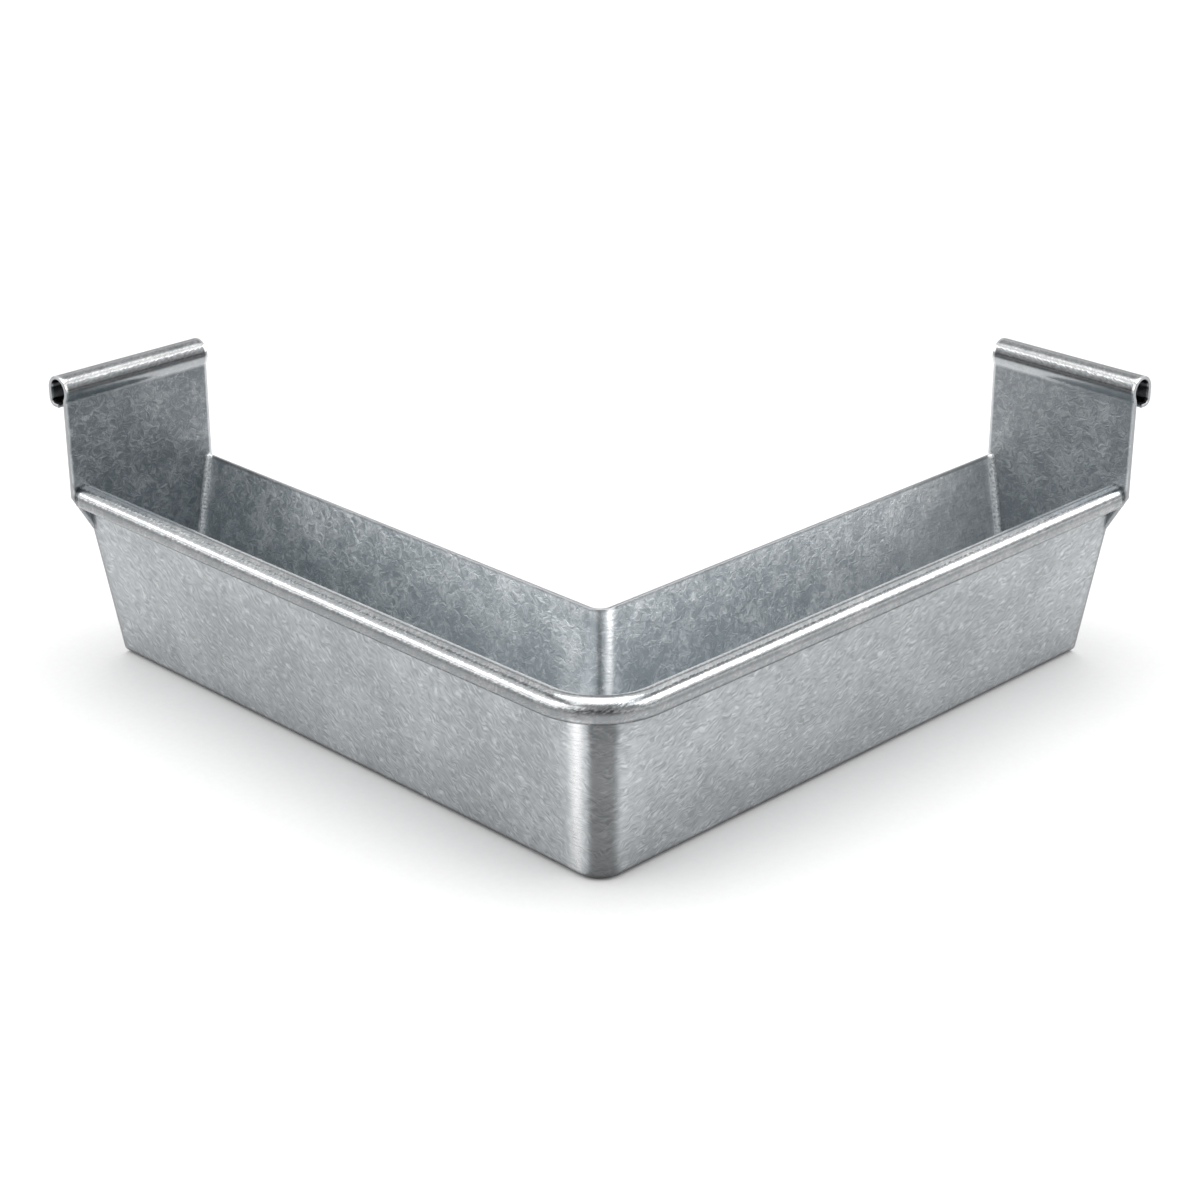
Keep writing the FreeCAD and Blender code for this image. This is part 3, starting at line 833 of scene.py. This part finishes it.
    def rolled(self, board: SheetBoard, hatch: Socket) -> Socket:
        """Painted highlight and painted shade in bands along a rolled edge, with ragged borders.

        Args:
            board: Node tree to add to.
            hatch: Short marks across the roll.

        Returns:
            Painted light, from minus one to one.
        """
        uneven = board.math("SUBTRACT", hatch, 0.5)
        place = board.math("MULTIPLY_ADD", uneven, self.ragged, board.mark(Mark.ROLL))
        left, right, corner = [board.ramp(place, tones) for tones in self.roll_tones]
        away = board.math("MULTIPLY_ADD", hatch, 0.018, board.math("ABSOLUTE", board.along))
        arms = board.blend(board.on_right, left, right)
        bands = board.blend(board.span(away, 0.010, 0.029), corner, arms)
        return board.math("MULTIPLY_ADD", uneven, 0.35, bands)

    def scuffed(self, board: SheetBoard) -> Socket:
        """Painted highlight and painted shade strips of the bends, with the painted highlights broken up by level
        scuffs.

        Args:
            board: Node tree to add to.

        Returns:
            The painted light of the bends.
        """
        rub = board.mark(Mark.RUB)
        scuffs = board.noise(board.mapped(board.sheet, self.scuff_grid), self.scuffs)
        broken = board.math("MULTIPLY", rub, board.span(scuffs, 0.25, 0.62, 0.5, 1.15))
        return board.blend(board.math("GREATER_THAN", rub, 0.0), rub, broken)


@dataclass(frozen=True)
class ZincWeld:
    """Zinc-brushed weld metal: bright, pitted and a little glassy."""

    name: str
    light: Colour = (0.80, 0.81, 0.81, 1.0)
    dark: Colour = (0.36, 0.37, 0.38, 1.0)
    rough: float = 0.24
    grains: Cloud = Cloud(1 / 0.0011, 3.0, 0.6, 0.3)
    pits: float = 0.6 / 0.0011
    relief: float = 0.0006

    def material(self) -> bpy.types.Material:
        """Builds the material.

        Returns:
            The weld material.
        """
        board = NodeBoard(bpy.data.materials.new(self.name))
        place = board.node("TexCoord").outputs["Object"]
        grains = board.noise(place, self.grains, solid=True)
        pits = board.node("TexVoronoi", {"Vector": place, "Scale": self.pits}).outputs["Distance"]
        tone = board.span(board.math("ADD", grains, board.math("MULTIPLY", pits, 0.35)), 0.35, 0.85)
        roughness = board.math("ADD", board.math("MULTIPLY", grains, 0.25), self.rough)
        colour = board.tint(tone, self.dark, self.light)
        return board.finish(colour, roughness, board.bump(grains, self.relief, 0.7))


@dataclass(frozen=True)
class StudioFloor:
    """Matt pale paper under the part."""

    name: str
    pale: Colour = grey(0.69)
    fibre: Colour = grey(0.705)
    fibres: Cloud = Cloud(260.0, 3.0)
    relief: float = 0.0001

    def material(self) -> bpy.types.Material:
        """Builds the material.

        Returns:
            The paper material.
        """
        board = NodeBoard(bpy.data.materials.new(self.name))
        fibre = board.noise(board.node("TexCoord").outputs["Object"], self.fibres)
        colour = board.tint(board.span(fibre, 0.2, 0.8), self.pale, self.fibre)
        roughness = board.math("ADD", board.math("MULTIPLY", fibre, 0.1), 0.85)
        return board.finish(colour, roughness, board.bump(fibre, self.relief, 0.1), 0.0)


@dataclass(frozen=True)
class PaintedStrip:
    """Upright strip of painted light, a highlight for a weight above zero and shade below, weight * exp(-((aside -
    centre) / width)^power).
    """

    weight: float
    centre: float
    width: float
    power: int = 2

    def at(self, aside: Array) -> Array:
        """Returns the painted light at each distance from the upright plane through both bends."""
        return self.weight * np.exp(-(((aside - self.centre) / self.width) ** self.power))


@dataclass
class Trough:
    """Box gutter bent round the outer corner of a building: one sheet, from the bead's lip to the back wall's top."""

    lines: GutterLines
    bead: RolledEdge = RolledEdge(0.013, 0.002, 0.005, 0.00233, 0.004, 0.0006)
    arm_columns: int = 88
    bend_columns: int = 36
    fold_polish: Pair = (0.0, 0.3)
    bend_polish: float = 0.15
    bend_polish_width: float = 0.006
    bead_girth: float = 0.05
    end_calm: float = 0.03
    sole_fade: float = 0.05
    ripple: Ripple = field(default_factory=Ripple)
    # Painted light on the bends: highlight and shade strips on the outer and the inner bend, a painted highlight low
    # on the inner bend, painted shade along the front fold's outside and painted light on the back wall towards the
    # right arm's end.
    front_strips: tuple[PaintedStrip, ...] = (PaintedStrip(1.0, -0.0106, 0.0032), PaintedStrip(-0.62, 0.0012, 0.0074, 4))
    back_strips: tuple[PaintedStrip, ...] = (
        PaintedStrip(1.0, 0.0042, 0.0019),
        PaintedStrip(-0.45, -0.0002, 0.0018),
        PaintedStrip(0.1, -0.013, 0.009),
        PaintedStrip(0.12, -0.05, 0.03),
    )
    low_strip: PaintedStrip = PaintedStrip(0.3, -0.013, 0.009)
    low_band: Pair = (0.094, 0.074)
    foot_dull: float = 0.95
    foot_band: Pair = (0.0045, 0.002)
    far_end_bright: float = 0.42
    far_end_band: Pair = (0.08, 0.19)

    def section(self) -> Run:
        """Middle line across the right arm, from the bead's lip to the back wall's top.

        Returns:
            The line, with the trough on the left of travel.
        """
        lines, half = self.lines, self.lines.sheet / 2
        front_fold, back_fold = lines.fold_runs(lines.fold_radius - half, self.fold_polish)
        crest = lines.bead_outside, lines.bead_top
        front = self.bead.runs(front_fold.points[0], lines.wall_lean, *crest, lines.sheet)
        foot = back_fold.points[-1]
        rise = lines.back_height - half * math.sin(lines.wall_lean) - foot[1]
        return Run.joined([
            Run.joined(front).turned,
            front_fold,
            Run.line((lines.front_fold, half), (lines.back_fold, half)),
            back_fold,
            Run.line(foot, foot + rise * np.array([lines.slope, 1.0]), end_round=lines.edge_round),
        ])

    def skin(self) -> BentSheet:
        """Carries the section along one arm, round the bend and along the other arm.

        Every point keeps its distance from the upright axis of its own bend: the front of the section turns about
        the outer bend's axis, the back of it about the inner bend's axis, and the sole's points about axes spread
        evenly between the two. Along an arm, a point is axis + t * (end - axis); in the bend, it is
        axis - reach * (sin a, cos a), where reach is its distance from its axis.

        Returns:
            The closed skin.
        """

        def angle(right: Array, bend: Array, sign: float = 1.0) -> Array:
            """Returns the right arm, the bend and the left arm, which mirrors the right one, side by side."""
            return np.concatenate([right, bend, sign * right[:, ::-1]], axis=1)

        lines, section = self.lines, self.section()
        y, z = section.points.T[:, :, None]
        normal_y, normal_z = section.normals.T[:, :, None]
        share = fade(y, lines.front_fold, lines.back_fold)
        axis = lines.back_axis * share
        reach = axis - y
        along = np.linspace(1.0, 0.0, self.arm_columns)[None, :]
        turn = np.linspace(0.0, math.pi / 2, self.bend_columns + 2)[1:-1][None, :]
        arm = axis + (lines.arm_end - axis) * along
        beside, bend = y + 0 * arm, 0 * turn * y
        x = np.concatenate([arm, axis - reach * np.sin(turn), beside], axis=1)
        across = np.concatenate([beside, axis - reach * np.cos(turn), arm[:, ::-1]], axis=1)
        swing = np.concatenate([0 * along, turn, 0 * along + math.pi / 2], axis=1)
        middle = grid(x, across, z)
        normals = grid(normal_y * np.sin(swing), normal_y * np.cos(swing), normal_z)
        half_bend = reach * math.pi / 4
        u = angle(arm - axis + half_bend, half_bend - reach * turn, -1.0)
        v = section.distances[:, None] + 0 * u
        bend_polish = np.exp(-((angle(arm - axis, bend) / self.bend_polish_width) ** 2)) * (v > self.bead_girth)
        polish = np.maximum(section.polish[:, None], self.bend_polish * bend_polish)
        edge_distance = np.minimum(v, section.distances[-1] - v)
        calm = fade(angle(lines.arm_end - arm, bend + 1.0), 0.0, self.end_calm) * fade(edge_distance, 0.0, CALM)
        calm = calm * (1 - polish) * fade(z, lines.fold_radius, lines.fold_radius + CALM)
        middle = middle + normals * (self.ripple.at(u, v) * calm)[..., None]
        sole = fade(np.minimum(share, 1 - share), 0.0, self.sole_fade)
        # Painted highlight and painted shade strips on the bends, left off the sole.
        rub = self.rub_marks((x - across) / math.sqrt(2), z, share) * (1 - sole)
        marks = {
            Mark.POLISH: polish,
            Mark.EDGE: np.exp(-edge_distance / EDGE_LOOK),
            Mark.RUB: rub,
            Mark.MATT: np.stack([sole, 0 * sole]),
            Mark.ROLL: section.past_top[:, None],
        }
        return BentSheet(middle, normals, lines.thickness_at(edge_distance), grid(u, v), marks, True)

    def rub_marks(self, aside: Array, height: Array, share: Array) -> Array:
        """Painted light of the bends: strips of painted highlight and painted shade on each bend, added up.

        The front fold gets painted shade on its outside, one strip is left out near the back wall's top, and the back
        wall gets painted light towards the right arm's end.

        Args:
            aside: Distance of each point from the upright plane through both bends, right positive.
            height: Height of each point above the floor.
            share: Zero at the front of the section and one at its back.

        Returns:
            Painted light at each point, of the inner face and of the outer face.
        """
        foot, low = fade(height, *self.foot_band), fade(height, *self.low_band)
        front = sum(strip.at(aside) for strip in self.front_strips)
        back = sum(strip.at(aside) for strip in self.back_strips) + low * self.low_strip.at(aside)
        back = back + self.far_end_bright * fade(aside, *self.far_end_band)
        fronts = (front, front * (1 - foot) - self.foot_dull * foot)
        return np.stack([np.where(share < 0.5, face, back) for face in fronts])

    def build(self) -> Piece:
        """Returns the finished trough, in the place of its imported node."""
        return self.dress(self.skin().build("trough_sheet"))

    def dress(self, piece: Piece) -> Piece:
        """Returns the trough with its zinc and its place."""
        return settle(piece, ZincSheet("trough_zinc").material(), "trough")


@dataclass
class EndPlate:
    """Plate that closes one end of the trough, with a hooked top and a gusset beside the bead."""

    lines: GutterLines
    side: Side
    gusset_head: float = 0.1015
    hook: RolledEdge = RolledEdge(0.0165, 0.0053, 0.0046, 0.0036, 0.005, 0.0005)
    columns: int = 30
    ripple: Ripple = field(default_factory=lambda: Ripple(depth=0.0001, seed=23))

    def section(self) -> Run:
        """Middle line of the plate from its foot to the hook's lip, seen along its top.

        Distances are measured inwards from the plate's inner face and upwards from the sole.

        Returns:
            The line, with the outer face on the left of travel.
        """
        lines = self.lines
        middle = -lines.sheet / 2
        heights = [0.0, lines.fold_top, lines.gusset_foot, self.gusset_head, lines.back_height]
        flats = [
            Run.line((middle, low), (middle, high), GRID_STEP if low else FINE_STEP)
            for low, high in zip(heights, heights[1:])
        ]
        crest = lines.arm_end - lines.hook_outside, lines.plate_top
        return Run.joined([*flats, *self.hook.runs((middle, heights[-1]), 0.0, *crest, lines.sheet)])

    def outline(self, heights: Array) -> tuple[Array, Array]:
        """Front and back edges of the plate at given heights.

        At the foot both edges follow the rounds of the folds, line -/+ sqrt(r^2 - (r - z)^2). Above them they
        follow the leaning walls, line -/+ z * tan(lean). The front edge then slants out under the bead and rises
        straight, and the back edge rises straight from the back wall's top.

        Args:
            heights: Heights above the sole.

        Returns:
            The front edge and the back edge, as places across the arm.
        """
        lines = self.lines
        sunk = lines.fold_radius - np.minimum(heights, lines.fold_radius)
        round_out = np.sqrt(lines.fold_radius**2 - sunk**2)
        gusset_line = lines.front_line - lines.gusset_foot * lines.slope
        slant = fade(heights, lines.gusset_foot, self.gusset_head)
        front_wall = lines.front_line - np.minimum(heights, lines.gusset_foot) * lines.slope
        front_wall = front_wall + slant * (lines.plate_edge - gusset_line)
        back_wall = lines.back_line + np.minimum(heights, lines.back_height) * lines.slope
        folded = heights < lines.fold_top
        return (
            np.where(folded, lines.front_fold - round_out, front_wall),
            np.where(folded, lines.back_fold + round_out, back_wall),
        )

    def skin(self) -> BentSheet:
        """Spreads the section between the front and the back edge.

        A point of row s and column t lies at front + t * (back - front), with the outer columns crowded into the
        round of the edges.

        Returns:
            The closed skin.
        """
        lines, section = self.lines, self.section()
        inwards, z = section.points.T[:, :, None]
        normal_in, normal_z = section.normals.T[:, :, None]
        hooked = section.distances[:, None] > lines.back_height
        front, back = self.outline(np.where(hooked, lines.back_height, z))
        crowd = edge_steps(0.01, lines.edge_round)
        share = np.linspace(0.0, 1.0, self.columns)[None, 1:-1]
        low, high = front + crowd[-1], back - crowd[-1]
        y = np.concatenate([front + crowd, low + share * (high - low), back - crowd[::-1]], axis=1)
        v = section.distances[:, None]
        middle = grid(lines.arm_end - inwards, y, z)
        normals = grid(-normal_in, 0 * y, normal_z)
        sides = np.minimum(y - front, back - y)
        edge_distance = np.minimum(sides, np.minimum(v, section.distances[-1] - v))
        polish = section.polish[:, None]
        above = fade(v, lines.back_height, lines.back_height + CALM)
        calm = fade(sides, 0.0, CALM) * (1 - polish) * above
        middle = middle + normals * (self.ripple.at(y, v) * calm)[..., None]
        marks = {
            Mark.POLISH: polish,
            Mark.EDGE: np.exp(-edge_distance / EDGE_LOOK),
            Mark.ROLL: section.past_top[:, None],
        }
        half, flat = lines.thickness_at(edge_distance), grid(y, v) + PLATE_MAPS[self.side]
        return BentSheet(self.side.place(middle), self.side.place(normals), half, flat, marks, False)

    def build(self) -> Piece:
        """Returns the finished plate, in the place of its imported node."""
        return self.dress(self.skin().build(f"{self.side.value}_plate_sheet"))

    def dress(self, piece: Piece) -> Piece:
        """Gives the plate its zinc and its place.

        Args:
            piece: Plate without a finish.

        Returns:
            The same plate.
        """
        left = self.side is Side.LEFT
        zinc = ZincSheet(
            f"{self.side.value}_plate_zinc",
            # Painted shade: the plate's inner face is a darker copy of the zinc, the left plate darker than the right.
            inside_light=(0.43, 0.45, 0.465, 1.0) if left else (0.465, 0.485, 0.50, 1.0),
            inside_dark=(0.205, 0.225, 0.24, 1.0) if left else (0.26, 0.28, 0.295, 1.0),
            # Bright burr: painted highlight along the plate's cut edges.
            burr=(0.84, 0.85, 0.86, 1.0),
            # Painted highlight and painted shade in bands across the hook.
            roll_tones=(HOOK_PAINTED_LIGHT, HOOK_PAINTED_LIGHT, HOOK_PAINTED_LIGHT),
        )
        return settle(piece, zinc.material(), f"{self.side.value}_end_plate")


@dataclass
class WeldSeam:
    """Bead of weld metal in the corner between the trough's inner face and one end plate."""

    lines: GutterLines
    side: Side
    leg: float = 0.0033
    sunk: float = 0.0004
    rise: float = 0.0011
    fullness: float = 0.93
    fold_loss: float = 0.25
    cap_run: float = 0.7
    rim_power: int = 8
    ripple_base: float = 0.97
    ripple_length: float = 0.0024
    ripple_depth: float = 0.05
    ripple_bow: float = 1.1
    drift: float = 0.035
    drift_knots: int = 40
    seed: int = 5
    rows: int = 420
    columns: int = 14

    def path(self) -> Run:
        """Corner line on the trough's inner face, from the back wall's top round to the front wall.

        Returns:
            The line, with the trough on the right of travel.
        """
        lines, step = self.lines, GRID_STEP / 2
        folds = lines.fold_runs(lines.fold_radius - lines.sheet, (1.0, 1.0))
        front_fold, back_fold = [fold.turned for fold in folds]
        back_foot, front_foot = back_fold.points[0], front_fold.points[-1]
        head = back_foot + (lines.back_height + self.rise - back_foot[1]) * np.array([lines.slope, 1.0])
        tail = front_foot + (lines.gusset_foot - front_foot[1]) * np.array([-lines.slope, 1.0])
        return Run.joined([
            Run.line(head, back_foot, step),
            back_fold,
            Run.line((lines.back_fold, lines.sheet), (lines.front_fold, lines.sheet), step),
            front_fold,
            Run.line(front_foot, tail, step),
        ])

    def skin(self) -> tuple[Array, list[list[int]]]:
        """Carries a quarter round along the corner line.

        A point of the bead is corner + leg(s) * (cos a * along the trough + sin a * away from the sheet), where
        leg(s) swells in ripples, shrinks in the folds and rounds off to nothing at both ends.

        Returns:
            Points on a grid, and the faces of the closed bead.
        """
        lines, path = self.lines, self.path()
        s = np.linspace(0.0, path.distances[-1], self.rows)
        corner = np.column_stack([np.interp(s, path.distances, path.points[:, i]) for i in (0, 1)])
        away = np.column_stack([np.interp(s, path.distances, -path.normals[:, i]) for i in (0, 1)])
        away /= np.linalg.norm(away, axis=1, keepdims=True)
        angles = np.linspace(0.0, math.pi / 2, self.columns)
        knots = np.linspace(0, s[-1], self.drift_knots)
        drift = np.interp(s, knots, np.random.default_rng(self.seed).normal(0, self.drift, self.drift_knots))
        bow = self.ripple_bow * np.cos(2 * angles[None, :] - math.pi / 2)
        ripples = self.ripple_depth * np.abs(np.sin(math.pi * s[:, None] / self.ripple_length + bow))
        fold = np.interp(s, path.distances, path.polish)
        ends = np.minimum(s, s[-1] - s)
        cap = np.sqrt(1 - (1 - fade(ends, 0.0, self.cap_run * self.leg)) ** 2)
        leg = self.leg * (self.fullness + drift - self.fold_loss * fold)[:, None]
        leg = np.minimum(leg * (self.ripple_base + ripples) * cap[:, None], self.leg)
        x = lines.arm_end - leg * np.cos(angles) + self.sunk * np.sin(angles) ** self.rim_power
        out = leg * np.sin(angles) - self.sunk * np.cos(angles) ** self.rim_power
        outer = np.concatenate([x[..., None], corner[:, None, :] + away[:, None, :] * out[..., None]], axis=-1)
        root = np.column_stack([np.full(self.rows, lines.arm_end + self.sunk), corner - away * self.sunk])
        points = np.concatenate([outer, root[:, None, :]], axis=1)
        index = np.arange(points.shape[0] * points.shape[1]).reshape(points.shape[:2])
        after = np.roll(index, -1, axis=1)
        sides = grid(index[:-1], index[1:], after[1:], after[:-1]).reshape(-1, 4)
        return points, [*sides.tolist(), index[0].tolist(), index[-1].tolist()]

    def build(self) -> Piece:
        """Returns the finished seam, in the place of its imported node."""
        points, faces = self.skin()
        return self.dress(new_piece(f"{self.side.value}_weld_bead", self.side.place(points), faces))

    def dress(self, piece: Piece) -> Piece:
        """Returns the seam with its weld metal and its place."""
        metal = ZincWeld(f"{self.side.value}_weld_metal").material()
        return settle(piece, metal, f"{self.side.value}_weld_seam")


@dataclass(frozen=True)
class SoftPanel:
    """Upright cloth lit from behind, turned towards the part."""

    name: str
    place: Place
    width: float = 6.4
    height: float = 2.9
    glow: float = 1.75

    def build(self, aim: Place) -> None:
        """Hangs the panel. Its power is glow * pi * area, so glow is the brightness that the zinc mirrors.

        Args:
            aim: Point that the panel faces.
        """
        data = bpy.data.lights.new(self.name, "AREA")
        data.shape, data.size, data.size_y = "RECTANGLE", self.width, self.height
        data.energy = self.glow * math.pi * self.width * self.height
        towards = Vector(aim) - Vector(self.place)
        put(self.name, data, self.place, towards.to_track_quat("-Z", "Y").to_euler())


@dataclass
class Studio:
    """Pale floor, soft light and the camera, as the photograph was taken."""

    floor_half: float = 40.0
    floor_ticks: int = 9
    aim: Place = (0.12, 0.12, 0.06)
    panels: tuple[SoftPanel, ...] = (
        SoftPanel("right_panel", (2.95, -2.71, 2.20)),
        SoftPanel("left_panel", (-2.71, 2.95, 2.20)),
    )
    overhead_power: float = 2.0
    overhead_spread: float = math.radians(60)
    camera_place: Place = (-0.80132, -0.80132, 0.63461)
    camera_turn: Place = (math.radians(66.46), 0.0, math.radians(-45.0))
    lens: float = 80.10
    sensor: float = 36.0
    room_front: float = 0.82
    room_back: float = 0.66
    room_front_heading: Place = (-0.62, -0.62, 0.48)
    room_fade: tuple[float, float] = (0.15, 0.85)

    def build(self) -> None:
        """Builds the floor, the lights and the camera."""
        self.floor()
        self.lights()
        self.camera()

    def floor(self) -> None:
        """Lays the floor, a flat grid of points (x, y, 0)."""
        ticks = np.linspace(-self.floor_half, self.floor_half, self.floor_ticks)
        x, y = np.meshgrid(ticks, ticks)
        index = np.arange(x.size).reshape(x.shape)
        faces = quads(index)[:, TURNED_OVER].tolist()
        piece = new_piece("studio_floor", grid(x, y, 0 * x), faces, closed=False)
        piece.data.materials.append(StudioFloor("studio_paper").material())

    def lights(self) -> None:
        """Hangs the soft lights and sets the light of the room, which is stronger on the camera's side."""
        world = bpy.data.worlds.new("studio_room")
        bpy.context.scene.world = world
        board = NodeBoard(world)
        heading = board.node("TexCoord").outputs["Generated"]
        facing = board.vectors("DOT_PRODUCT", heading, self.room_front_heading).outputs["Value"]
        strength = board.span(facing, *self.room_fade, self.room_back, self.room_front)
        glow = board.node("Background", {"Color": grey(1.0), "Strength": strength}).outputs[0]
        board.node("OutputWorld", {"Surface": glow})
        overhead = bpy.data.lights.new("overhead_cloth", "SUN")
        overhead.energy = self.overhead_power
        overhead.angle = self.overhead_spread
        put("overhead_cloth", overhead)
        for panel in self.panels:
            panel.build(self.aim)

    def camera(self) -> None:
        """Stands the camera where the photograph was taken."""
        data = bpy.data.cameras.new("studio_camera")
        data.lens, data.sensor_width, data.sensor_fit = self.lens, self.sensor, "HORIZONTAL"
        bpy.context.scene.camera = put("studio_camera", data, self.camera_place, self.camera_turn)
        bpy.context.scene.view_settings.view_transform = "Standard"


def main() -> None:
    """Builds the pieces in order, then the studio."""
    logging.basicConfig(level=logging.INFO)
    lines = GutterLines.from_frame()
    makers = [Trough(lines)]
    makers += [EndPlate(lines, side) for side in Side]
    makers += [WeldSeam(lines, side) for side in Side]
    for maker in makers:
        piece = maker.build()
        log.info("%s: %d points, %d faces", piece.name, len(piece.data.vertices), len(piece.data.polygons))
    Studio().build()


if __name__ == "__main__":
    main()
